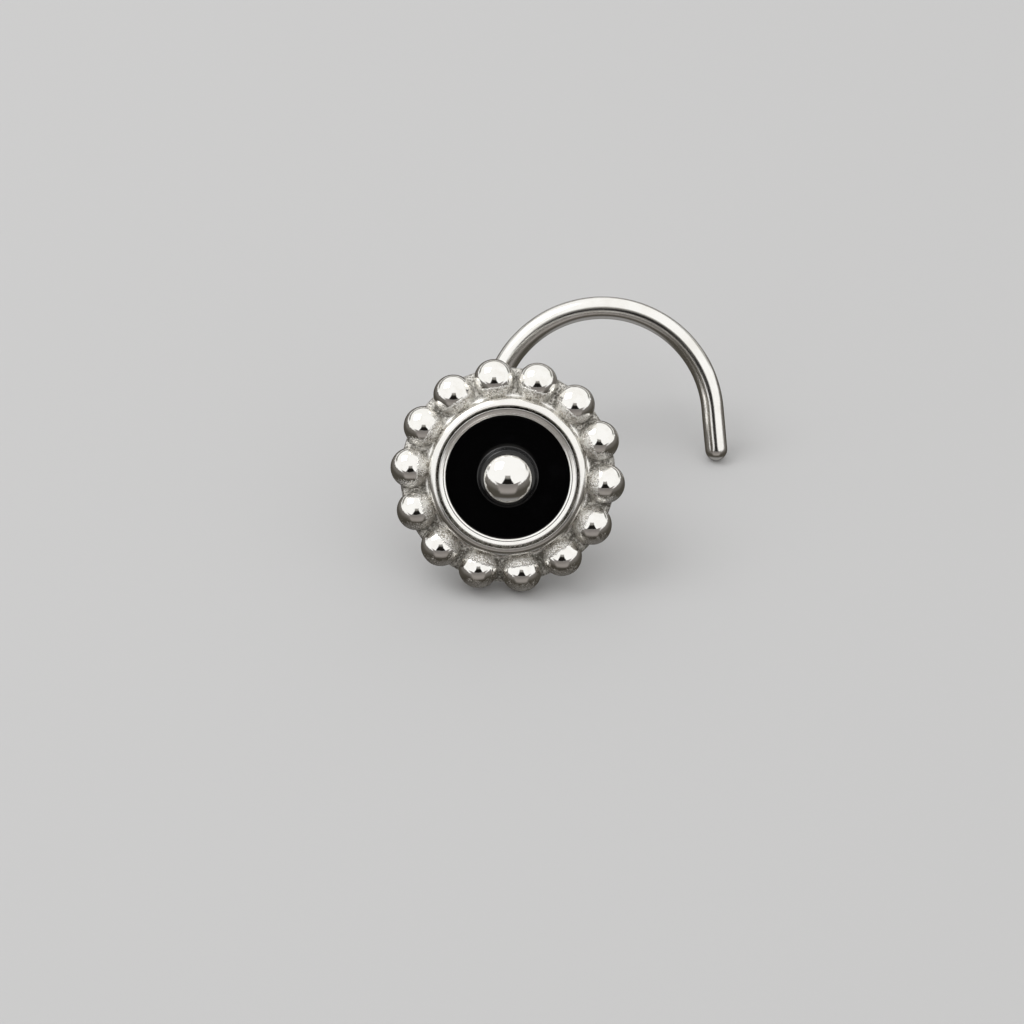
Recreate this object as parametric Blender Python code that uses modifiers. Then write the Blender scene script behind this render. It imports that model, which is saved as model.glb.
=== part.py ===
# A nose stud: a beaded silver head round a black stone, on a post that bends into a curled hook.
# Metres, +Z up. Each piece is modelled in the head's own frame: local +Z is the way the head
# faces, local +Y is up the head, and z = 0 is the plane of the bead centres. An empty then lays
# the stud on z = 0 as it rests by itself, on a bead, the bend of its post and the hook's tip,
# with the head facing -Y.

import bpy
import bmesh
from math import acos, asin, atan2, cos, pi, radians, sin, sqrt
from mathutils import Matrix, Vector

MM = 0.001

# Setting, turned about the head's axis
RIM_INNER_RADIUS = 2.49 * MM        # half-round rim round the bezel ring
RIM_WIDTH = 0.28 * MM
RIM_HEIGHT = 0.75 * MM              # in front of the bead centres
STEP_WIDTH = 0.11 * MM              # small step at the foot of the rim
STEP_HEIGHT = 0.22 * MM
WEB_REACH = 0.35 * MM               # metal between the beads, past the bead circle
WEB_HEIGHT = 0.02 * MM
WEB_ROUND = 0.22 * MM
WEB_EDGE_DEPTH = 0.43 * MM          # where its edge turns in to the back
BACK_DEPTH = 0.70 * MM              # flat back, behind the bead centres
BACK_INSET = 0.34 * MM              # the back's edge, inside the bead circle
PLATE_THICKNESS = 0.40 * MM         # floor under the stone

# Beads, cast in one with the setting
BEAD_COUNT = 14
BEAD_RADIUS = 0.70 * MM
BEAD_TUCK = 0.08 * MM               # how far each bead runs into the rim
FIRST_BEAD_TURN = radians(-8.1)     # clockwise from the top of the head

# Bezel ring, a ring of its own inside the rim, with a funnel down to the stone
GROOVE_WIDTH = 0.09 * MM            # dark groove between the rim and the bezel ring
BEZEL_SINK = 0.03 * MM              # its top, below the rim's
BEZEL_ROUND = 0.04 * MM
BEZEL_LIP_WIDTH = 0.04 * MM
BEZEL_FACE_WIDTH = 0.24 * MM        # from its outer wall to the window over the stone
BEZEL_WALL = 0.14 * MM              # beside the stone
WINDOW_EDGE = 0.05 * MM

# Stone, a flat polished disc with a raised collar round the ball
STONE_SINK = 0.22 * MM              # its face, below the bezel ring's top
STONE_EDGE = 0.03 * MM
COLLAR_OUTER_RADIUS = 1.06 * MM
COLLAR_TOP_RADIUS = 0.92 * MM
COLLAR_HEIGHT = 0.16 * MM

# Ball on its hidden pin
BALL_RADIUS = 0.94 * MM
BALL_LIFT = 0.52 * MM               # its centre, above the stone's face
PIN_RADIUS = 0.30 * MM
PIN_SEAT = 0.16 * MM                # how far the pin goes into the floor

# Post and hook, one bent wire soldered to the back
WIRE_RADIUS = 0.40 * MM
POST_LENGTH = 5.60 * MM             # from the back to the centre line of the hook
POST_ROOT = 0.10 * MM               # how far it is let into the back
FILLET_WIDTH = 0.22 * MM            # solder round the post's root
FILLET_HEIGHT = 0.20 * MM
BEND_RADIUS = 0.90 * MM
HOOK_RADIUS = 3.97 * MM
HOOK_SWING = 0.59 * MM              # how far the hook swings past the post, away from its tip
HOOK_RISE = 1.50 * MM               # its centre, above the post
HOOK_JOIN_ANGLE = radians(168)      # where a tighter first turn runs into the hook's arc
HOOK_END_ANGLE = radians(5.3)       # where the arc runs into the straight leg
LEG_LENGTH = 1.88 * MM

# Gap between pieces that seat on each other
CLEARANCE = 0.03 * MM

# How fine the facets are
TURN_STEPS = 70
RIM_STEPS = 6
EDGE_STEPS = 3
BALL_STEPS = 10
NEST_STEPS = 3
BEAD_SEGMENTS = 16
BEAD_RINGS = 10
WIRE_RESOLUTION = 4
BEND_STEPS = 6
FIRST_TURN_STEPS = 5
HOOK_STEPS = 22
TIP_SHARES = (0.4, 0.7, 0.9, 1.0)   # places along the rounded tip, as shares of the wire's radius
TIP_FLAT = 0.30                     # flat left at the tip, as a share of the wire's radius
MERGE = 1e-7

# Metal and stone in kg/m3, and the lean of the head when it rests, near enough to pick the side
SILVER_DENSITY = 10400
STONE_DENSITY = 2650
LEAN_GUESS = radians(33)

# Sizes that follow from the ones above
RIM_OUTER_RADIUS = RIM_INNER_RADIUS + RIM_WIDTH
BEAD_CIRCLE_RADIUS = RIM_OUTER_RADIUS + BEAD_RADIUS - BEAD_TUCK
FLOOR_HEIGHT = PLATE_THICKNESS - BACK_DEPTH
SEAT_HEIGHT = FLOOR_HEIGHT + CLEARANCE
BEZEL_OUTER_RADIUS = RIM_INNER_RADIUS - GROOVE_WIDTH
BEZEL_HEIGHT = RIM_HEIGHT - BEZEL_SINK
STONE_FACE_HEIGHT = BEZEL_HEIGHT - STONE_SINK
PIN_HOLE_RADIUS = PIN_RADIUS + CLEARANCE
BALL_HEIGHT = STONE_FACE_HEIGHT + BALL_LIFT
PIN_END_HEIGHT = FLOOR_HEIGHT - PIN_SEAT
HOOK_CENTRE = Vector((HOOK_RADIUS - HOOK_SWING, HOOK_RISE))
HOOK_PLANE = -BACK_DEPTH - POST_LENGTH


def make_collection(name):
    collection = bpy.data.collections.new(name)
    bpy.context.scene.collection.children.link(collection)
    return collection


def make_material(name, colour, metallic, roughness):
    material = bpy.data.materials.new(name)
    material.use_nodes = True
    shader = material.node_tree.nodes["Principled BSDF"]
    shader.inputs["Base Color"].default_value = (*colour, 1)
    shader.inputs["Metallic"].default_value = metallic
    shader.inputs["Roughness"].default_value = roughness
    return material


def add_object(mesh, collection, material, parent):
    obj = bpy.data.objects.new(mesh.name, mesh)
    collection.objects.link(obj)
    mesh.materials.append(material)
    mesh.shade_smooth()
    obj.parent = parent
    return obj


def mesh_from(bm, name):
    mesh = bpy.data.meshes.new(name)
    bm.to_mesh(mesh)
    bm.free()
    return mesh


def arc(centre, radius, start, end, steps):
    """Points on an arc, both ends included."""
    angles = [start + (end - start) * index / steps for index in range(steps + 1)]
    return [(centre[0] + radius * cos(a), centre[1] + radius * sin(a)) for a in angles]


def turned(name, profile, closed, collection, material, parent):
    """A solid turned about the head's axis from (radius, height) points, down its outer side."""
    bm = bmesh.new()
    points = [bm.verts.new((radius, 0, height)) for radius, height in profile]
    for first, second in zip(points, points[1:]):
        bm.edges.new((first, second))
    if closed:
        bm.edges.new((points[-1], points[0]))
    obj = add_object(mesh_from(bm, name), collection, material, parent)
    screw = obj.modifiers.new("Turn", "SCREW")
    screw.steps = TURN_STEPS
    screw.render_steps = TURN_STEPS
    screw.use_merge_vertices = True
    screw.merge_threshold = MERGE
    return obj


def join(obj, other):
    """Fuses another object into this one, and keeps the other as a hidden guide."""
    other.hide_render = True
    other.display_type = "WIRE"
    union = obj.modifiers.new(f"Join {other.name}", "BOOLEAN")
    union.operation = "UNION"
    union.solver = "EXACT"
    union.use_self = True
    union.object = other


def setting_profile():
    hole_bottom = PIN_END_HEIGHT - CLEARANCE
    web_edge = BEAD_CIRCLE_RADIUS + WEB_REACH
    fillet_bottom = -BACK_DEPTH - FILLET_HEIGHT
    rim_round = RIM_WIDTH / 2
    rim_centre = (RIM_INNER_RADIUS + rim_round, RIM_HEIGHT - rim_round)
    edge_centre = (web_edge - WEB_ROUND, WEB_HEIGHT - WEB_ROUND)
    return [
        (0, hole_bottom),
        (PIN_HOLE_RADIUS, hole_bottom),
        (PIN_HOLE_RADIUS, FLOOR_HEIGHT),
        (RIM_INNER_RADIUS, FLOOR_HEIGHT),
        *arc(rim_centre, rim_round, pi, 0, RIM_STEPS),
        (RIM_OUTER_RADIUS, STEP_HEIGHT),
        (RIM_OUTER_RADIUS + STEP_WIDTH, STEP_HEIGHT),
        *arc(edge_centre, WEB_ROUND, pi / 2, 0, EDGE_STEPS),
        (web_edge, -WEB_EDGE_DEPTH),
        (BEAD_CIRCLE_RADIUS - BACK_INSET, -BACK_DEPTH),
        (WIRE_RADIUS + FILLET_WIDTH, -BACK_DEPTH),
        (WIRE_RADIUS, fillet_bottom),
        (0, fillet_bottom),
    ]


def make_beads(collection, material, parent):
    """The ring of beads, spaced round the bead circle."""
    bm = bmesh.new()
    out = Matrix.Translation((0, BEAD_CIRCLE_RADIUS, 0))
    for index in range(BEAD_COUNT):
        turn = FIRST_BEAD_TURN + 2 * pi * index / BEAD_COUNT
        bmesh.ops.create_uvsphere(
            bm,
            u_segments=BEAD_SEGMENTS,
            v_segments=BEAD_RINGS,
            radius=BEAD_RADIUS,
            matrix=Matrix.Rotation(-turn, 4, "Z") @ out,
        )
    return add_object(mesh_from(bm, "beads"), collection, material, parent)


def first_turn():
    """Centre, radius and start angle of the tighter arc between the bend and the hook's arc.

    It touches the hook's arc at HOOK_JOIN_ANGLE, and starts where the bend, which leaves the
    head's axis, comes into the hook's plane.
    """
    join_way = Vector((cos(HOOK_JOIN_ANGLE), sin(HOOK_JOIN_ANGLE)))
    reach = HOOK_RADIUS ** 2 + BEND_RADIUS ** 2 - HOOK_CENTRE.length_squared
    inset = reach / (2 * (HOOK_RADIUS + HOOK_CENTRE.dot(join_way)))
    centre = HOOK_CENTRE + inset * join_way
    radius = HOOK_RADIUS - inset
    start = atan2(centre.y, centre.x) + pi - atan2(BEND_RADIUS, radius)
    return centre, radius, start


def hook_line():
    """The wire's centre line, and its thickness at each point, from the head to the tip."""
    centre, radius, start = first_turn()
    away = Vector((sin(start), -cos(start), 0))
    line = [Vector((0, 0, POST_ROOT - BACK_DEPTH))]
    for index in range(BEND_STEPS):
        bent = pi / 2 * index / BEND_STEPS
        height = HOOK_PLANE + BEND_RADIUS * (1 - sin(bent))
        line.append(away * BEND_RADIUS * (1 - cos(bent)) + Vector((0, 0, height)))
    curl = arc(centre, radius, start, HOOK_JOIN_ANGLE, FIRST_TURN_STEPS)[:-1]
    curl += arc(HOOK_CENTRE, HOOK_RADIUS, HOOK_JOIN_ANGLE, HOOK_END_ANGLE, HOOK_STEPS)
    line += [Vector((*point, HOOK_PLANE)) for point in curl]
    along = Vector((sin(HOOK_END_ANGLE), -cos(HOOK_END_ANGLE), 0))
    shoulder = line[-1] + along * (LEG_LENGTH - WIRE_RADIUS)
    line.append(shoulder)
    thickness = [1.0] * len(line)
    line += [shoulder + along * WIRE_RADIUS * share for share in TIP_SHARES]
    thickness += [max(TIP_FLAT, sqrt(1 - share ** 2)) for share in TIP_SHARES]
    return line, thickness


def make_hook(collection, material, parent):
    """The post and hook, a round wire with a rounded tip, made a mesh so that it can be joined."""
    line, thickness = hook_line()
    curve = bpy.data.curves.new("hook_curve", "CURVE")
    curve.dimensions = "3D"
    curve.bevel_depth = WIRE_RADIUS
    curve.bevel_resolution = WIRE_RESOLUTION
    curve.use_fill_caps = True
    spline = curve.splines.new("POLY")
    spline.points.add(len(line) - 1)
    for point, place, share in zip(spline.points, line, thickness):
        point.co = (*place, 1)
        point.radius = share
    guide = bpy.data.objects.new("hook_curve", curve)
    collection.objects.link(guide)
    evaluated = guide.evaluated_get(bpy.context.evaluated_depsgraph_get())
    bm = bmesh.new()
    bm.from_mesh(bpy.data.meshes.new_from_object(evaluated))
    bmesh.ops.remove_doubles(bm, verts=bm.verts, dist=MERGE)
    bpy.data.objects.remove(guide)
    return add_object(mesh_from(bm, "post_and_hook"), collection, material, parent)


def bezel_profile():
    seat_radius = BEZEL_OUTER_RADIUS - BEZEL_WALL
    window_radius = BEZEL_OUTER_RADIUS - BEZEL_FACE_WIDTH
    window_height = STONE_FACE_HEIGHT + CLEARANCE
    round_centre = (BEZEL_OUTER_RADIUS - BEZEL_ROUND, BEZEL_HEIGHT - BEZEL_ROUND)
    return [
        *arc(round_centre, BEZEL_ROUND, pi / 2, 0, 2),
        (BEZEL_OUTER_RADIUS, SEAT_HEIGHT),
        (seat_radius, SEAT_HEIGHT),
        (seat_radius, window_height),
        (window_radius, window_height),
        (window_radius, window_height + WINDOW_EDGE),
        (BEZEL_OUTER_RADIUS - BEZEL_ROUND - BEZEL_LIP_WIDTH, BEZEL_HEIGHT),
    ]


def stone_profile():
    stone_radius = BEZEL_OUTER_RADIUS - BEZEL_WALL - CLEARANCE
    collar_height = STONE_FACE_HEIGHT + COLLAR_HEIGHT
    nest_radius = BALL_RADIUS + CLEARANCE
    nest_start = -acos(PIN_HOLE_RADIUS / nest_radius)
    nest_end = -asin((BALL_HEIGHT - collar_height) / nest_radius)
    return [
        (COLLAR_TOP_RADIUS, collar_height),
        (COLLAR_OUTER_RADIUS, STONE_FACE_HEIGHT),
        (stone_radius - STONE_EDGE, STONE_FACE_HEIGHT),
        (stone_radius, STONE_FACE_HEIGHT - STONE_EDGE),
        (stone_radius, SEAT_HEIGHT),
        (PIN_HOLE_RADIUS, SEAT_HEIGHT),
        *arc((0, BALL_HEIGHT), nest_radius, nest_start, nest_end, NEST_STEPS),
    ]


def ball_profile():
    neck = -acos(PIN_RADIUS / BALL_RADIUS)
    ball = arc((0, BALL_HEIGHT), BALL_RADIUS, pi / 2, neck, BALL_STEPS)
    return [(0, BALL_HEIGHT + BALL_RADIUS), *ball[1:], (PIN_RADIUS, PIN_END_HEIGHT), (0, PIN_END_HEIGHT)]


def evaluated_mesh(obj):
    """The finished mesh of an object, in the head's frame, as a bmesh."""
    bm = bmesh.new()
    evaluated = obj.evaluated_get(bpy.context.evaluated_depsgraph_get())
    bm.from_mesh(bpy.data.meshes.new_from_object(evaluated))
    bmesh.ops.triangulate(bm, faces=bm.faces)
    return bm


def weigh(bm, density):
    """Mass, and mass times its centre, from the tetrahedra between the faces and the origin."""
    mass, moment = 0, Vector((0, 0, 0))
    for face in bm.faces:
        a, b, c = (vert.co for vert in face.verts)
        share = density * a.dot(b.cross(c)) / 6
        mass += share
        moment += share * (a + b + c) / 4
    return mass, moment


def resting_side(corners, balance):
    """The outward normal of the hull facet under the balance point, nearest to the guessed lean."""
    down = Vector((0, -cos(LEAN_GUESS), -sin(LEAN_GUESS)))
    hull = bmesh.new()
    for corner in corners:
        hull.verts.new(corner)
    bmesh.ops.convex_hull(hull, input=hull.verts)
    middle = sum((vert.co for vert in hull.verts), Vector()) / len(hull.verts)
    best, best_match = down, -1
    for face in hull.faces:
        a, b, c = (vert.co for vert in face.verts)
        normal = (b - a).cross(c - a).normalized()
        if normal.dot(a - middle) < 0:
            normal, b, c = -normal, c, b
        inside = all((q - p).cross(balance - p).dot(normal) >= 0 for p, q in ((a, b), (b, c), (c, a)))
        if inside and normal.dot(down) > best_match:
            best, best_match = normal, normal.dot(down)
    hull.free()
    return best


def lay_down(root, pieces):
    """Turns the root so that the stud rests on z = 0 by its own weight, head towards -Y."""
    mass, moment, corners = 0, Vector((0, 0, 0)), []
    for obj, density in pieces:
        bm = evaluated_mesh(obj)
        piece_mass, piece_moment = weigh(bm, density)
        mass += piece_mass
        moment += piece_moment
        corners += [vert.co.copy() for vert in bm.verts]
        bm.free()
    normal = resting_side(corners, moment / mass)
    settle = normal.rotation_difference(Vector((0, 0, -1))).to_matrix()
    facing = settle @ Vector((0, 0, 1))
    swing = Matrix.Rotation(-pi / 2 - atan2(facing.y, facing.x), 3, "Z")
    turn = swing @ settle
    placed = [turn @ corner for corner in corners]
    low = Vector(min(point[axis] for point in placed) for axis in range(3))
    high = Vector(max(point[axis] for point in placed) for axis in range(3))
    shift = Vector((-(low.x + high.x) / 2, -(low.y + high.y) / 2, -low.z))
    root.matrix_world = Matrix.Translation(shift) @ turn.to_4x4()


def main():
    for obj in list(bpy.data.objects):
        bpy.data.objects.remove(obj)
    stud = make_collection("nose_stud")
    guides = make_collection("joined_shapes")
    silver = make_material("silver", (0.86, 0.85, 0.82), 1.0, 0.2)
    bright_silver = make_material("bright_silver", (0.93, 0.92, 0.90), 1.0, 0.08)
    black_stone = make_material("black_stone", (0.006, 0.006, 0.007), 0.0, 0.05)

    root = bpy.data.objects.new("resting_frame", None)
    stud.objects.link(root)

    setting = turned("setting_with_hook", setting_profile(), False, stud, silver, root)
    join(setting, make_beads(guides, silver, root))
    join(setting, make_hook(guides, silver, root))
    bezel = turned("bezel_ring", bezel_profile(), True, stud, bright_silver, root)
    stone = turned("stone_disc", stone_profile(), True, stud, black_stone, root)
    ball = turned("center_ball", ball_profile(), False, stud, bright_silver, root)

    lay_down(root, [
        (setting, SILVER_DENSITY),
        (bezel, SILVER_DENSITY),
        (stone, STONE_DENSITY),
        (ball, SILVER_DENSITY),
    ])


main()
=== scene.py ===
# The looks of a beaded silver nose stud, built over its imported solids.
# Each piece is modelled in millimetres in the head's own frame, where +Z is the way the head faces
# and +Y is up the head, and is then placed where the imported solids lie.

import bmesh
import bpy
from math import acos, asin, atan2, cos, degrees, hypot, pi, radians, sin, sqrt, tan
from mathutils import Matrix, Vector, noise


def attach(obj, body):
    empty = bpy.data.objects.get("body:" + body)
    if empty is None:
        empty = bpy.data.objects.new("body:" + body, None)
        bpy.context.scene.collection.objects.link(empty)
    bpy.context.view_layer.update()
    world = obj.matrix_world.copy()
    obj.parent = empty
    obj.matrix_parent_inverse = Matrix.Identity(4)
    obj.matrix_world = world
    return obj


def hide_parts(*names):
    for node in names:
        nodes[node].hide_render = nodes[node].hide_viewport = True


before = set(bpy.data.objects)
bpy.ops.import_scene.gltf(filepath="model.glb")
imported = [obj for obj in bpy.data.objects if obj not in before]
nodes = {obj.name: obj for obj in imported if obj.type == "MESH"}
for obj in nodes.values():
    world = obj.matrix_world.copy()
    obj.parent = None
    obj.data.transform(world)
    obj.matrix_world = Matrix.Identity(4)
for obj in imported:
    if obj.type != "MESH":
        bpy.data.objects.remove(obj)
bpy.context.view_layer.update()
millimetre = 0.001
print("frame loaded")


def skinMiddle(name):                                    # area-weighted middle of a node's faces
    faces = nodes[name].data.polygons
    area = sum(face.area for face in faces)
    return sum((face.center * face.area for face in faces), Vector()) / area


def findHead(seatHeight):                                # the head's frame, from the stone and the ball
    middle = skinMiddle("stone_disc")
    facing = (skinMiddle("center_ball") - middle).normalized()
    right = Vector((0, 0, 1)).cross(facing).normalized()
    up = facing.cross(right)
    seat = min(facing.dot(vertex.co - middle) for vertex in nodes["stone_disc"].data.vertices)
    centre = middle + facing * (seat - seatHeight * millimetre)
    turn = Matrix((right, up, facing)).transposed()
    return Matrix.Translation(centre) @ turn.to_4x4()


head = {
    "beadCount": 14,
    "firstBeadTurn": -8.1,                               # degrees clockwise from the top
    "beadCircle": 3.39,
    "beadRadius": 0.70,
    "seatHeight": -0.27,                                 # the stone's underside
    "stoneFace": 0.50,
    "ballHeight": 1.02,
    "ballRadius": 0.94,
    "pinRadius": 0.30,
}
headFrame = findHead(head["seatHeight"])
placement = headFrame @ Matrix.Scale(millimetre, 4)


# Shader maths

class Signal:                                            # a socket that can be used in sums
    def __init__(self, paint, socket):
        self.paint = paint
        self.socket = socket

    def math(self, operation, *others):
        values = dict(enumerate((self, *others)))
        return self.paint.add("ShaderNodeMath", {"operation": operation}, values)

    def __add__(self, other):
        return self.math("ADD", other)

    def __sub__(self, other):
        return self.math("SUBTRACT", other)

    def __mul__(self, other):
        return self.math("MULTIPLY", other)

    def between(self, low, high):                        # 0 at low and 1 at high, eased
        settings = {"interpolation_type": "SMOOTHSTEP"}
        values = {"Value": self, "From Min": low, "From Max": high}
        return self.paint.add("ShaderNodeMapRange", settings, values)


class Paint:                                             # adds nodes to a material or to the world
    def __init__(self, tree):
        self.tree = tree

    def add(self, kind, settings, values, output=0):
        node = self.tree.nodes.new(kind)
        for name, setting in settings.items():
            setattr(node, name, setting)
        for name, value in values.items():
            if isinstance(value, Signal):
                self.tree.links.new(value.socket, node.inputs[name])
            else:
                node.inputs[name].default_value = value
        return Signal(self, node.outputs[output])

    def mix(self, factor, first, second):                # colours
        pair = (first, second)
        first, second = (value if isinstance(value, Signal) else (*value, 1) for value in pair)
        return self.add("ShaderNodeMix", {"data_type": "RGBA"}, {0: factor, 6: first, 7: second}, 2)

    def attribute(self, name, output="Vector"):
        return self.add("ShaderNodeAttribute", {"attribute_name": name}, {}, output)

    def stretch(self, vector, scale):
        return self.add("ShaderNodeVectorMath", {"operation": "MULTIPLY"}, {0: vector, 1: scale})

    def noise(self, vector, scale, detail=2, roughness=0.5):
        values = {"Vector": vector, "Scale": scale, "Detail": detail, "Roughness": roughness}
        return self.add("ShaderNodeTexNoise", {}, values)

    def split(self, vector):
        node = self.tree.nodes.new("ShaderNodeSeparateXYZ")
        self.tree.links.new(vector.socket, node.inputs[0])
        return [Signal(self, node.outputs[index]) for index in range(3)]

    def bump(self, height, distance):                    # distance in millimetres
        values = {"Height": height, "Distance": distance * millimetre, "Strength": 1.0}
        return self.add("ShaderNodeBump", {}, values)


def newMaterial(name, values):                           # the shader's constants, then its paint
    material = bpy.data.materials.new(name)
    material.use_nodes = True
    shader = material.node_tree.nodes["Principled BSDF"]
    for key, value in values.items():
        shader.inputs[key].default_value = value
    return material, Paint(material.node_tree), shader


def link(paint, signal, shader, name):
    paint.tree.links.new(signal.socket, shader.inputs[name])


silver = {
    "bright": (0.95, 0.94, 0.915),
    "worn": (0.85, 0.825, 0.775),
    # oxide is also the colour of the painted shade on the beads and below the rim
    "oxide": (0.33, 0.295, 0.24),
    "deepOxide": (0.10, 0.09, 0.07),
}

polish = {                                               # the beads' finish
    "fine": 17.0,                                        # scales of the noise, in a millimetre
    "coarse": 3.2,
    "paintedShade": 0.65,
    "speckOxide": 0.80,
    "relief": 0.05,
}

casting = {                                              # the setting's finish
    "fine": 13.5,
    "coarse": 2.6,
    "patches": 0.35,
    "filmAndShadeStrength": 0.18,
    "speckOxide": 0.80,
    "relief": 0.06,
}

drawing = {                                              # the wire's finish
    "stretch": (1, 1, 0.05),
    "lines": 9.0,
    "smudge": 1.3,
    "relief": 0.002,
}

turning = {                                              # the finish of the bezel ring and the ball
    "rings": 30.0,
    "smudge": 1.6,
}

onyx = {
    "black": (0.0012, 0.0012, 0.0014),
    "vein": (0.0022, 0.0022, 0.0026),
    "ground": (0.006, 0.006, 0.0065),
    "groundInside": (0.88, 0.95),                        # the ground collar, none to full
    "groundOutside": (1.10, 1.02),
    "veins": 1.1,
    "smears": 5.0,
}


def polishedSilver():                                    # beads: polished crowns and grainy feet, with painted shade on the lower beads' undersides
    material, paint, shader = newMaterial("polished_silver", {"Metallic": 1.0})
    place = paint.attribute("place")
    grain = paint.attribute("grain", "Fac")
    shade = paint.attribute("shade", "Fac")
    fine = paint.noise(place, polish["fine"], 3, 0.65)
    coarse = paint.noise(place, polish["coarse"], 2)
    # the feet's grain also reaches the beads' undersides, where its dark specks are painted shade
    foot = (grain + (fine - 0.5) * 0.7 + (coarse - 0.5) * 0.5).between(0.20, 0.62)
    specks = (fine + (coarse - 0.5) * 0.4).between(0.54, 0.38) * foot
    smear = coarse.between(0.35, 0.75)
    colour = paint.mix(smear * 0.5, silver["bright"], silver["worn"])
    # painted shade: the lower beads' undersides darkened
    colour = paint.mix(shade * polish["paintedShade"], colour, silver["oxide"])
    colour = paint.mix(specks * polish["speckOxide"], colour, silver["oxide"])
    link(paint, colour, shader, "Base Color")
    link(paint, foot * 0.20 + shade * 0.10 + smear * 0.05 + 0.05, shader, "Roughness")
    link(paint, paint.bump(fine * foot + coarse * 0.15, polish["relief"]), shader, "Normal")
    return material


def castSilver():                                        # setting: bright rim, oxidised grain below, and painted light and shade in its dark film
    material, paint, shader = newMaterial("oxidised_and_shaded_cast_silver", {"Metallic": 1.0})
    place = paint.attribute("place")
    grain = paint.attribute("grain", "Fac")
    shade = paint.attribute("shade", "Fac")
    fine = paint.noise(place, casting["fine"], 3, 0.7)
    coarse = paint.noise(place, casting["coarse"], 2)
    patches = (coarse - 0.5) * casting["patches"]
    specks = (fine + patches - shade * 0.05).between(0.50, 0.40) * grain
    # the dark film is oxide in the crevices and the groove, plus painted light at the upper left and
    # painted shade below the rim
    filmAndShade = (shade + patches * grain).between(0.1, 1.0)
    colour = paint.mix(coarse * 0.5 + grain * 0.3, silver["bright"], silver["worn"])
    colour = paint.mix(filmAndShade * casting["filmAndShadeStrength"], colour, silver["oxide"])
    colour = paint.mix(specks * casting["speckOxide"], colour, silver["deepOxide"])
    link(paint, colour, shader, "Base Color")
    link(paint, grain * 0.22 + fine * 0.08 + 0.12, shader, "Roughness")
    link(paint, paint.bump(fine * grain, casting["relief"]), shader, "Normal")
    return material


def drawnSilver():                                       # wire: bright, with faint lines along it
    material, paint, shader = newMaterial("drawn_silver_wire", {"Metallic": 1.0})
    drawn = paint.attribute("drawn")
    lines = paint.noise(paint.stretch(drawn, drawing["stretch"]), drawing["lines"], 3, 0.6)
    smudge = paint.noise(paint.attribute("place"), drawing["smudge"], 3)
    colour = paint.mix(smudge.between(0.4, 0.8) * 0.6, silver["bright"], silver["worn"])
    link(paint, colour, shader, "Base Color")
    link(paint, lines * 0.10 + smudge * 0.10 + 0.06, shader, "Roughness")
    link(paint, paint.bump(lines, drawing["relief"]), shader, "Normal")
    return material


def turnedSilver(name, lineDepth, roughness):            # bezel ring and ball: fine lathe rings
    material, paint, shader = newMaterial(name, {"Metallic": 1.0})
    place = paint.attribute("place")
    across = paint.split(place)
    radius = (across[0] * across[0] + across[1] * across[1]).math("SQRT")
    turned = paint.add("ShaderNodeCombineXYZ", {}, {"X": radius, "Y": across[2]})
    rings = paint.noise(turned, turning["rings"], 2)
    smudge = paint.noise(place, turning["smudge"], 3)
    colour = paint.mix(smudge.between(0.45, 0.8) * 0.5, silver["bright"], silver["worn"])
    link(paint, colour, shader, "Base Color")
    link(paint, smudge * 0.06 + rings * 0.04 + roughness, shader, "Roughness")
    link(paint, paint.bump(rings, lineDepth), shader, "Normal")
    return material


def blackStone():                                        # onyx, with a ground collar round the ball
    material, paint, shader = newMaterial("black_onyx", {"IOR": 1.54})
    place = paint.attribute("place")
    across = paint.split(place)
    radius = (across[0] * across[0] + across[1] * across[1]).math("SQRT")
    ground = radius.between(*onyx["groundInside"]) * radius.between(*onyx["groundOutside"])
    veins = paint.noise(place, onyx["veins"], 4).between(0.55, 0.75)
    colour = paint.mix(veins, onyx["black"], onyx["vein"])
    colour = paint.mix(ground, colour, onyx["ground"])
    smears = paint.noise(place, onyx["smears"])
    link(paint, colour, shader, "Base Color")
    link(paint, ground * 0.20 + smears * 0.03 + 0.02, shader, "Roughness")
    return material


# Mesh helpers

def arc(centre, radius, start, end, steps):              # angles in degrees, both ends included
    angles = [radians(start + (end - start) * index / steps) for index in range(steps + 1)]
    return [(centre[0] + radius * cos(angle), centre[1] + radius * sin(angle)) for angle in angles]


def ramp(start, end, steps):                             # points between two, the last one left out
    return [tuple(a + (b - a) * index / steps for a, b in zip(start, end)) for index in range(steps)]


def slopes(start, pieces):                               # a line of slopes: width, degrees, steps
    points = [start]
    for width, angle, steps in pieces:
        for _ in range(steps):
            radius, height = points[-1]
            points.append((radius + width / steps, height + width / steps * tan(radians(angle))))
    return points


def eased(value, low, high):
    share = min(1.0, max(0.0, (value - low) / (high - low)))
    return share * share * (3 - 2 * share)


def spinProfile(profile, steps, closed=False):           # (radius, height) points about the axis
    bm = bmesh.new()
    points = [bm.verts.new((radius, 0, height)) for radius, height in profile]
    pairs = list(zip(points, points[1:])) + ([(points[-1], points[0])] if closed else [])
    edges = [bm.edges.new(pair) for pair in pairs]
    bmesh.ops.spin(
        bm, geom=points + edges, cent=(0, 0, 0), axis=(0, 0, 1), dvec=(0, 0, 0),
        angle=2 * pi, steps=steps, use_merge=True, use_duplicate=False,
    )
    bmesh.ops.remove_doubles(bm, verts=bm.verts, dist=1e-5)
    bmesh.ops.recalc_face_normals(bm, faces=bm.faces)
    bm.normal_update()
    return bm


def beadMiddles():
    for index in range(head["beadCount"]):
        turn = radians(head["firstBeadTurn"] + 360 * index / head["beadCount"])
        yield Vector((sin(turn), cos(turn), 0)) * head["beadCircle"]


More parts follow.
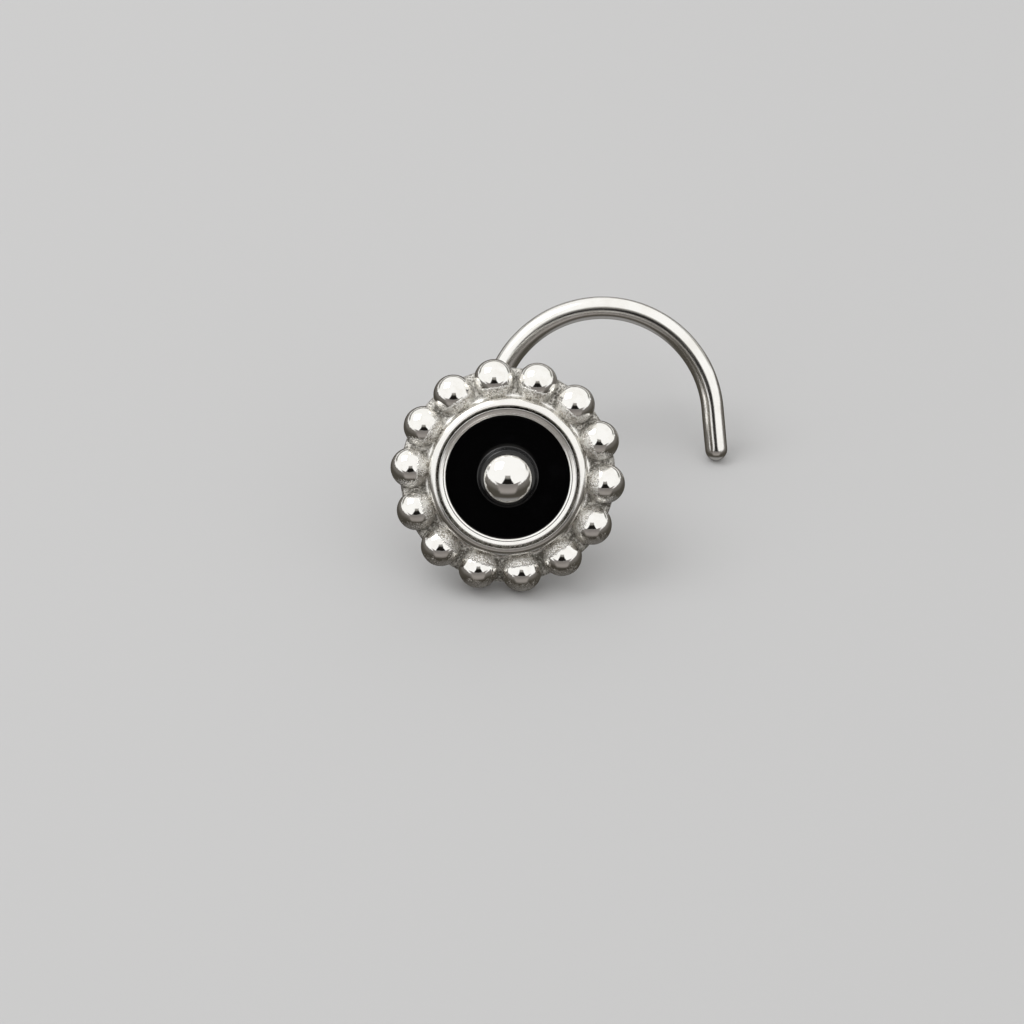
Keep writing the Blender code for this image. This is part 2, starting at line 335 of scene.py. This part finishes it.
def finishPiece(bm, name, material, node):
    place = bm.verts.layers.float_vector.new("place")
    for vertex in bm.verts:
        vertex[place] = vertex.co
    bmesh.ops.transform(bm, matrix=placement, verts=bm.verts)
    mesh = bpy.data.meshes.new(name)
    bm.to_mesh(mesh)
    bm.free()
    piece = bpy.data.objects.new(name, mesh)
    bpy.context.scene.collection.objects.link(piece)
    mesh.materials.append(material)
    mesh.shade_smooth()
    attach(piece, "root")
    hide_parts(node)
    print(name, len(mesh.polygons), "faces")


# Camera

camera = {
    "elevation": 38.55,
    "distance": 200.0,
    "scale": 28.75,                                      # pixels for a millimetre at the head
    "frameWidth": 1024,
    "right": 0.146,
    "down": 1.27,
    "sensor": 36.0,
}


def makeCamera():
    angle = radians(camera["elevation"])
    back = Vector((0, -cos(angle), sin(angle)))
    up = Vector((0, sin(angle), cos(angle)))
    shift = Vector((1, 0, 0)) * camera["right"] - up * camera["down"]
    aim = headFrame.translation + shift * millimetre
    data = bpy.data.cameras.new("camera")
    data.sensor_width = camera["sensor"]
    data.lens = camera["sensor"] * camera["distance"] * camera["scale"] / camera["frameWidth"]
    data.clip_start = 0.001
    data.clip_end = 10
    eye = bpy.data.objects.new("camera", data)
    eye.location = aim + back * camera["distance"] * millimetre
    eye.rotation_euler = (pi / 2 - angle, 0, 0)
    bpy.context.scene.collection.objects.link(eye)
    bpy.context.scene.camera = eye


makeCamera()
print("camera ready")


# Setting

setting = {
    "steps": 448,
    "rimInner": 2.49,
    "rimOuter": 2.77,
    "rimHeight": 0.75,
    "rimSlopes": (
        (0.010, -4, 1), (0.063, -12, 4), (0.025, -22, 2), (0.055, -36, 4), (0.040, -42, 3),
        (0.030, -52, 2), (0.020, -66, 2), (0.010, -79, 2),
    ),
    "ledge": 2.43,                                       # closes the groove round the bezel ring
    "ledgeHeight": 0.38,
    "stepEdge": 2.88,
    "stepHeight": 0.22,
    "stepFall": 0.06,
    "valleyEdge": 3.25,
    "webSteps": 21,
    "webHeight": 0.02,
    "webEdge": 3.74,
    "webRound": 0.20,
    "webDepth": -0.43,
    "backEdge": 3.05,
    "back": -0.70,
    "floor": -0.30,
    "pinHole": 0.33,
    "pinEnd": -0.49,
    "fillet": 0.10,                                      # metal drawn up round the beads' feet
    "innerFillet": 0.22,                                 # and more of it towards the rim
    "footRange": (-0.05, 0.15),
    "footSink": 0.02,
    "solderWidth": 0.24,
    "solderHeight": 0.20,
    "wireRadius": 0.40,
    "grainScale": 3.5,
    "grainHeight": 0.009,
    "oxideReach": (0.30, 0.02),                          # distance from a bead, none to full
    "openOxide": 0.35,
    "paintedLightTop": 0.45,                                     # painted light: a weaker dark film between the upper left beads, where the light falls
    "paintedLightUp": 0.9,
    "paintedLightLeft": 0.45,
    "paintedShadeStep": 0.9,                                     # and painted shade below the lower half of the rim
    "paintedShadeEdge": 3.12,
}


def settingProfile():
    s = setting
    rim = slopes((s["rimInner"] + 0.012, s["rimHeight"]), s["rimSlopes"])
    valleyStart = (s["stepEdge"] + 0.015, s["stepHeight"] - s["stepFall"] - 0.03)
    webWidth = s["webEdge"] - s["webRound"] - valleyStart[0]
    web = []
    for index in range(s["webSteps"] + 1):
        radius = valleyStart[0] + webWidth * index / s["webSteps"]
        slope = 1 - eased(radius, valleyStart[0] - 0.05, s["valleyEdge"])
        web.append((radius, s["webHeight"] + (valleyStart[1] - s["webHeight"]) * slope))
    edge = arc((s["webEdge"] - s["webRound"], s["webHeight"] - s["webRound"]), s["webRound"], 84, 0, 9)
    solder = [
        (s["wireRadius"] + s["solderWidth"] * (1 - sin(radians(angle))),
         s["back"] - s["solderHeight"] * (1 - cos(radians(angle))))
        for angle in range(0, 91, 10)
    ]
    edgeTop = (s["webEdge"], s["webHeight"] - s["webRound"] - 0.04)
    edgeFoot = (s["webEdge"], s["webDepth"] + 0.05)
    slantTop = (s["webEdge"] - 0.05, s["webDepth"] - 0.03)
    slantFoot = (s["backEdge"] + 0.06, s["back"] + 0.02)
    backOuter = (s["backEdge"] - 0.05, s["back"])
    backInner = (s["wireRadius"] + s["solderWidth"] + 0.05, s["back"])
    return [
        (0, s["pinEnd"]),
        (s["pinHole"], s["pinEnd"]),
        (s["pinHole"], s["floor"]),
        (s["ledge"], s["floor"]),
        *ramp((s["ledge"], s["floor"]), (s["ledge"], s["ledgeHeight"]), 4)[1:],
        (s["ledge"], s["ledgeHeight"]),
        (s["rimInner"] - 0.02, s["ledgeHeight"] + 0.004),
        (s["rimInner"] - 0.004, s["ledgeHeight"] + 0.02),
        (s["rimInner"], s["rimHeight"] - 0.03),
        (s["rimInner"] + 0.002, s["rimHeight"] - 0.010),
        (s["rimInner"] + 0.006, s["rimHeight"] - 0.003),
        *rim,
        (s["rimOuter"], s["rimHeight"] - 0.32),
        (s["rimOuter"], s["stepHeight"] + 0.05),
        (s["rimOuter"] + 0.004, s["stepHeight"] + 0.02),
        (s["rimOuter"] + 0.016, s["stepHeight"] + 0.002),
        (s["rimOuter"] + 0.03, s["stepHeight"] - 0.008),
        (s["stepEdge"] - 0.03, s["stepHeight"] - s["stepFall"] + 0.010),
        (s["stepEdge"] - 0.012, s["stepHeight"] - s["stepFall"] + 0.002),
        (s["stepEdge"], s["stepHeight"] - s["stepFall"] - 0.012),
        *web,
        *edge,
        *ramp(edgeTop, edgeFoot, 3),
        (s["webEdge"] - 0.01, s["webDepth"] + 0.01),
        *ramp(slantTop, slantFoot, 9),
        slantFoot,
        (s["backEdge"], s["back"]),
        *ramp(backOuter, backInner, 12),
        *solder,
        (0, s["back"] - s["solderHeight"]),
    ]


def footRise(point, middle):                             # how far the metal is drawn up a bead's foot
    away = point - middle
    across = hypot(away.x, away.y)
    inward = max(0.0, -away.dot(middle) / (middle.length * max(across, 1e-6)))
    size = setting["fillet"] + setting["innerFillet"] * inward
    bead = head["beadRadius"]
    lowest, highest = setting["footRange"]
    base = min(highest, max(lowest, point.z))
    foot = sqrt((bead + size) ** 2 - (base + size) ** 2)
    contact = foot * bead / (bead + size)
    if across >= foot:
        return 0.0
    if across >= contact:
        return size - sqrt(size ** 2 - (foot - across) ** 2)
    return max(0.0, sqrt(bead ** 2 - across ** 2) - setting["footSink"] - base)


def makeSetting(material):
    s = setting
    bm = spinProfile(settingProfile(), s["steps"])
    grain = bm.verts.layers.float.new("grain")
    shade = bm.verts.layers.float.new("shade")
    middles = list(beadMiddles())
    backFace = s["back"] + 0.05
    moves = []
    for vertex in bm.verts:
        radius = hypot(vertex.co.x, vertex.co.y)
        turn = degrees(atan2(vertex.co.x, vertex.co.y)) - head["firstBeadTurn"]
        nearest = int(turn * head["beadCount"] // 360)   # the beads on both sides of this point
        beside = [middles[(nearest + step) % head["beadCount"]] for step in (0, 1)]
        outside = eased(radius, s["stepEdge"] - 0.05, s["stepEdge"] + 0.02)
        webbing = outside if vertex.co.z > backFace else 0.0
        # painted shade: a dark band outside the rim, on the head's lower half only
        below = eased(-vertex.co.y / max(radius, 1e-6), 0.25, 0.85)
        shadedSkirt = eased(radius, s["rimOuter"] - 0.08, s["rimOuter"] - 0.02)
        shadedSkirt *= eased(radius, s["paintedShadeEdge"], s["stepEdge"])
        vertex[grain] = webbing
        if radius < s["rimInner"] + 0.001 or vertex.co.z <= backFace:
            vertex[grain] = 0.2
        gap = min((vertex.co - middle).length for middle in beside) - head["beadRadius"]
        rise = 0.0
        if radius > s["stepEdge"] - 0.02 and vertex.normal.z > 0.2:
            forward = outside * eased(vertex.normal.z, 0.2, 0.8)
            rise = forward * hypot(*(footRise(vertex.co, middle) for middle in beside))
        # painted light: the dark film is made weaker towards the upper left of the head
        upperLeft = vertex.co.y * s["paintedLightUp"] - vertex.co.x * s["paintedLightLeft"]
        paintedLight = eased(upperLeft / max(radius, 1e-6), 0.1, 0.95)
        oxide = s["openOxide"] + (1 - s["openOxide"]) * eased(gap, *s["oxideReach"])
        vertex[shade] = webbing * oxide * (1 - s["paintedLightTop"] * paintedLight)
        # painted shade below the rim's lower half
        vertex[shade] = max(vertex[shade], s["paintedShadeStep"] * below * shadedSkirt)
        if radius < s["rimInner"] - 0.001 and vertex.co.z > s["floor"]:
            vertex[shade] = 1.0                          # oxide at the bottom of the groove
            vertex[grain] = 1.0
        rough = 0.0
        if webbing:
            rough = noise.fractal(vertex.co * s["grainScale"], 0.8, 2.1, 4) * s["grainHeight"] * webbing
        moves.append((vertex, vertex.normal * rough + Vector((0, 0, rise))))
    for vertex, move in moves:
        vertex.co += move
    finishPiece(bm, "cast_setting", material, "setting_with_hook")


# Beads

beads = {
    "segments": 48,
    "rings": 32,
    "sizeSpread": 0.006,
    "dent": 0.005,
    "dentScale": 2.1,
    "lowSide": (0.20, 0.60),                             # a bead's lower side, none to full, where shade is painted
    "lowFace": (1.0, 0.7),
    "grainReach": (0.20, 0.58),                          # towards the middle of the head
    "undersideShadeGrain": 0.30,
    "shadeReach": (-0.6, 2.2),                           # painted shade on the lower beads, none to full, down the head
}


def makeBeads(material):
    bm = bmesh.new()
    grain = bm.verts.layers.float.new("grain")
    shade = bm.verts.layers.float.new("shade")           # painted shade under the lower beads
    for index, middle in enumerate(beadMiddles()):
        wobble = noise.noise(Vector((index * 1.7, 0.3, 0.9)))
        radius = head["beadRadius"] * (1 + beads["sizeSpread"] * wobble)
        made = bmesh.ops.create_uvsphere(
            bm, u_segments=beads["segments"], v_segments=beads["rings"], radius=radius,
            matrix=Matrix.Translation(middle),
        )["verts"]
        inward = -middle.normalized()
        for vertex in made:
            out = (vertex.co - middle) / radius
            # painted shade: grain specks on each bead's lower side, and a dark film under the lower
            # beads
            low = eased(-out.y, *beads["lowSide"]) * eased(out.z, *beads["lowFace"])
            vertex[grain] = max(eased(inward.dot(out), *beads["grainReach"]), beads["undersideShadeGrain"] * low)
            vertex[shade] = low * eased(-middle.y, *beads["shadeReach"])
            bump = noise.noise(vertex.co * beads["dentScale"] + Vector((index, 0, 0)))
            vertex.co += out * bump * beads["dent"]
    bmesh.ops.recalc_face_normals(bm, faces=bm.faces)
    finishPiece(bm, "bead_crown", material, "setting_with_hook")


# Post and hook

hook = {
    "wireRadius": 0.40,
    "segments": 40,
    "root": -0.60,
    "plane": -6.30,
    "bendRadius": 0.90,
    "arcRadius": 3.97,
    "swing": 0.59,
    "rise": 1.50,
    "joinAngle": 168.0,
    "endAngle": 5.3,
    "leg": 1.88,
    "stepLength": 0.12,
    "wobble": 0.004,
    "wobbleScale": 0.9,
}


def firstTurn():                                         # the tighter arc after the bend
    middle = Vector((hook["arcRadius"] - hook["swing"], hook["rise"]))
    join = radians(hook["joinAngle"])
    way = Vector((cos(join), sin(join)))
    reach = hook["arcRadius"] ** 2 + hook["bendRadius"] ** 2 - middle.length_squared
    inset = reach / (2 * (hook["arcRadius"] + middle.dot(way)))
    centre = middle + inset * way
    radius = hook["arcRadius"] - inset
    start = atan2(centre.y, centre.x) + pi - atan2(hook["bendRadius"], radius)
    return middle, centre, radius, start, join


def makeHook(material):
    h = hook
    middle, centre, radius, start, join = firstTurn()
    bm = bmesh.new()
    drawn = bm.verts.layers.float_vector.new("drawn")
    root = Matrix.Translation((0, 0, h["root"]))
    bmesh.ops.create_circle(
        bm, cap_ends=False, segments=h["segments"], radius=h["wireRadius"], matrix=root,
    )
    ring = list(bm.verts)
    edges = list(bm.edges)
    for vertex in ring:
        vertex[drawn] = (vertex.co.x / h["wireRadius"], vertex.co.y / h["wireRadius"], 0)
    first = edges[:]
    travelled = 0.0

    def advance(matrix, length):                         # extrudes the open end and moves it on
        nonlocal ring, edges, travelled
        made = bmesh.ops.extrude_edge_only(bm, edges=edges)["geom"]
        ring = [item for item in made if isinstance(item, bmesh.types.BMVert)]
        fresh = set(ring)
        edges = [
            item for item in made
            if isinstance(item, bmesh.types.BMEdge) and fresh.issuperset(item.verts)
        ]
        bmesh.ops.transform(bm, matrix=matrix, verts=ring)
        travelled += length
        for vertex in ring:
            vertex[drawn] = (vertex[drawn][0], vertex[drawn][1], travelled)

    def straight(way, length):
        steps = max(1, round(length / h["stepLength"]))
        for _ in range(steps):
            advance(Matrix.Translation(way * length / steps), length / steps)

    def bend(pivot, axis, angle, size):
        steps = max(4, round(abs(angle) * size / h["stepLength"]))
        move = Matrix.Translation(pivot)
        turn = move @ Matrix.Rotation(angle / steps, 4, axis) @ move.inverted()
        for _ in range(steps):
            advance(turn, abs(angle) * size / steps)

    away = Vector((sin(start), -cos(start), 0))
    down = Vector((0, 0, -1))
    straight(down, h["root"] - h["plane"] - h["bendRadius"])
    pivot = away * h["bendRadius"] + Vector((0, 0, h["plane"] + h["bendRadius"]))
    bend(pivot, down.cross(away), pi / 2, h["bendRadius"])
    bend(Vector((*centre, 0)), "Z", join - start, radius)
    bend(Vector((*middle, 0)), "Z", radians(h["endAngle"]) - join, h["arcRadius"])
    along = Vector((sin(radians(h["endAngle"])), -cos(radians(h["endAngle"])), 0))
    straight(along, h["leg"] - h["wireRadius"])
    heart = sum((vertex.co for vertex in ring), Vector()) / len(ring)
    last = 0.0
    for angle in range(9, 82, 9):                        # rounded, filed tip
        share = sin(radians(angle))
        scale = cos(radians(angle)) / cos(radians(last))
        gone = h["wireRadius"] * (share - sin(radians(last)))
        spot = heart + along * h["wireRadius"] * sin(radians(last))
        further = Matrix.Translation(spot + along * gone)
        advance(further @ Matrix.Scale(scale, 4) @ Matrix.Translation(-spot), gone)
        last = angle
    bmesh.ops.contextual_create(bm, geom=edges)
    bmesh.ops.contextual_create(bm, geom=first)
    bmesh.ops.recalc_face_normals(bm, faces=bm.faces)
    bm.normal_update()
    for vertex in bm.verts:
        vertex.co += vertex.normal * h["wobble"] * noise.noise(vertex.co * h["wobbleScale"])
    finishPiece(bm, "post_and_hook", material, "setting_with_hook")


# Bezel ring

bezel = {
    "steps": 256,
    "outer": 2.40,
    "top": 0.72,
    "round": 0.015,
    "window": 2.16,
    "wall": 0.14,
    "funnel": (
        (0.010, 45, 2), (0.058, 17, 4), (0.018, 48, 3), (0.006, 34, 2),
        (0.088, 22, 5), (0.006, 16, 2), (0.039, 11, 3),
    ),
    "clearance": 0.03,
}


def makeBezel(material):
    b = bezel
    top, outer = b["top"], b["outer"]
    line = slopes((b["window"], 0.0), b["funnel"])
    funnel = [(radius, top + height - line[-1][1]) for radius, height in line]
    profile = [
        (line[-1][0] + b["round"] * 0.7, top - b["round"] * 0.25),
        (outer, top - b["round"]),
        (outer, top - 0.12),
        (outer, top - 0.25),
        (outer, head["seatHeight"]),
        (outer - b["wall"], head["seatHeight"]),
        (outer - b["wall"], head["stoneFace"] + b["clearance"]),
        (b["window"], head["stoneFace"] + b["clearance"]),
        *funnel,
    ]
    bm = spinProfile(profile, b["steps"], closed=True)
    finishPiece(bm, "bezel_hoop", material, "bezel_ring")


# Stone

stone = {
    "steps": 192,
    "radius": 2.23,
    "edge": 0.03,
    "collarOuter": 1.06,
    "collarTop": 0.92,
    "collarHeight": 0.16,
    "collarSteps": 12,
    "collarInset": 0.02,
    "pinHole": 0.33,
    "clearance": 0.03,
}


def makeStone(material):
    s = stone
    face = head["stoneFace"]
    collar = face + s["collarHeight"]
    width = s["collarOuter"] + 0.01 - s["collarTop"] + s["collarInset"]
    slope = []
    for step in range(s["collarSteps"] + 1):
        radius = s["collarTop"] - s["collarInset"] + width * step / s["collarSteps"]
        slope.append((radius, face + s["collarHeight"] * (1 - eased(step, 0, s["collarSteps"]))))
    nest = head["ballRadius"] + s["clearance"]
    nestStart = -degrees(acos(s["pinHole"] / nest))
    nestEnd = -degrees(asin((head["ballHeight"] - collar) / nest))
    profile = [
        *slope,
        *ramp((s["collarOuter"] + 0.15, face), (s["radius"] - s["edge"], face), 6),
        *arc((s["radius"] - s["edge"], face - s["edge"]), s["edge"], 90, 0, 4),
        (s["radius"], head["seatHeight"]),
        (s["pinHole"], head["seatHeight"]),
        *arc((0, head["ballHeight"]), nest, nestStart, nestEnd, 10),
    ]
    bm = spinProfile(profile, s["steps"], closed=True)
    finishPiece(bm, "onyx_disc", material, "stone_disc")


# Ball on its pin

ball = {
    "steps": 128,
    "rings": 56,
    "pinEnd": -0.46,
}


def makeBall(material):
    neck = -degrees(acos(head["pinRadius"] / head["ballRadius"]))
    profile = [
        (0, head["ballHeight"] + head["ballRadius"]),
        *arc((0, head["ballHeight"]), head["ballRadius"], 90, neck, ball["rings"])[1:],
        (head["pinRadius"], ball["pinEnd"] + 0.02),
        (head["pinRadius"] - 0.02, ball["pinEnd"]),
        (0, ball["pinEnd"]),
    ]
    bm = spinProfile(profile, ball["steps"])
    finishPiece(bm, "polished_ball", material, "center_ball")


makeSetting(castSilver())
makeBeads(polishedSilver())
makeHook(drawnSilver())
makeBezel(turnedSilver("turned_silver_bezel", 0.004, 0.12))
makeStone(blackStone())
makeBall(turnedSilver("polished_silver_ball", 0.0, 0.02))
print("pieces ready")


# Floor and light

studio = {
    "floorSize": 4.0,
    "floorColour": (0.54, 0.54, 0.545),
    "dome": (1.0, 0.995, 0.98),
    "ground": (0.165, 0.154, 0.142),                     # what the silver sees below the horizon
    "deepGround": (0.066, 0.060, 0.050),
    "shelf": (0.21, 0.195, 0.184),                       # a paler strip below the card
    "shelfEdge": (0.30, 0.278, 0.262),
    "underneath": (0.26, 0.255, 0.25),
    "raggedScale": 11.0,
    "ragged": 0.36,                                      # how far the horizon wanders
    "domeRange": (-0.02, 0.04),                          # heights in the sky, none to full
    "deepRange": (-0.10, -0.50),
    "underneathRange": (-0.78, -0.94),
    "shelfSide": (0.80, 0.62),
    "shelfFoot": (-0.66, -0.40),
    "shelfFade": (0.10, -0.34),
    "card": (0.010, 0.009, 0.008),                       # a dark card in front, paler at its top
    "cardTop": (0.30, 0.29, 0.27),
    "cardLow": 0.18,
    "cardHigh": 0.74,
    "cardWideLow": 0.54,
    "cardWideHigh": 0.19,
    "cardFade": (0.50, 0.66),
    "rearBand": (0.22, 0.21, 0.19),
    "rearSide": (0.25, 0.5),
    "rearFoot": (0.09, 0.13),
    "rearTop": (0.33, 0.26),
}


def makeFloor():
    bm = bmesh.new()
    bmesh.ops.create_grid(bm, x_segments=8, y_segments=8, size=studio["floorSize"] / 2)
    mesh = bpy.data.meshes.new("studio_floor")
    bm.to_mesh(mesh)
    bm.free()
    floor = bpy.data.objects.new("studio_floor", mesh)
    bpy.context.scene.collection.objects.link(floor)
    values = {"Base Color": (*studio["floorColour"], 1), "Roughness": 0.9, "Specular IOR Level": 0.1}
    mesh.materials.append(newMaterial("pale_floor", values)[0])
    floor.visible_glossy = False                         # the silver sees the world's ground instead


def makeWorld():
    s = studio
    world = bpy.data.worlds.new("studio")
    world.use_nodes = True
    bpy.context.scene.world = world
    paint = Paint(world.node_tree)
    way = paint.add("ShaderNodeTexCoord", {}, {}, "Generated")
    x, y, z = paint.split(way)
    front = y.between(0.0, -0.1)
    ragged = (paint.noise(way, s["raggedScale"], 4, 0.75) - 0.5) * s["ragged"]
    deep = (z + ragged * 0.5).between(*s["deepRange"])
    sky = paint.mix(deep, s["ground"], s["deepGround"])
    sky = paint.mix(z.between(*s["underneathRange"]), sky, s["underneath"])
    sky = paint.mix((z + ragged).between(*s["domeRange"]), sky, s["dome"])
    climb = z.between(s["cardLow"] - 0.30, s["cardHigh"])
    width = climb * (s["cardWideHigh"] - s["cardWideLow"]) + s["cardWideLow"]
    card = (x.math("ABSOLUTE") - width).between(0.02, -0.02) * front
    card = card * z.between(s["cardLow"] - 0.02, s["cardLow"] + 0.02)
    card = card * z.between(s["cardHigh"] + 0.03, s["cardHigh"] - 0.03)
    cardColour = paint.mix(z.between(*s["cardFade"]), s["card"], s["cardTop"])
    sky = paint.mix(card, sky, cardColour)
    shelf = (x.math("ABSOLUTE") + ragged - z * 0.5).between(*s["shelfSide"]) * front
    shelf = shelf * z.between(*s["shelfFoot"])
    shelf = shelf * z.between(s["cardLow"] + 0.01, s["cardLow"] - 0.01)
    shelfColour = paint.mix(z.between(*s["shelfFade"]), s["shelf"], s["shelfEdge"])
    sky = paint.mix(shelf, sky, shelfColour)
    rear = y.between(*s["rearSide"]) * z.between(*s["rearFoot"]) * z.between(*s["rearTop"])
    sky = paint.mix(rear, sky, s["rearBand"])
    background = world.node_tree.nodes["Background"]
    world.node_tree.links.new(sky.socket, background.inputs["Color"])
    background.inputs["Strength"].default_value = 1.0


def addSoftLight(name, location, size, power):
    data = bpy.data.lights.new(name, "AREA")
    data.size = size
    data.energy = power
    lamp = bpy.data.objects.new(name, data)
    lamp.location = location
    lamp.rotation_euler = Vector(location).to_track_quat("Z", "Y").to_euler()
    bpy.context.scene.collection.objects.link(lamp)


makeFloor()
makeWorld()
addSoftLight("soft_key", (-0.16, 0.05, 0.25), 0.16, 0.22)
bpy.context.scene.view_settings.view_transform = "Standard"
print("studio ready")
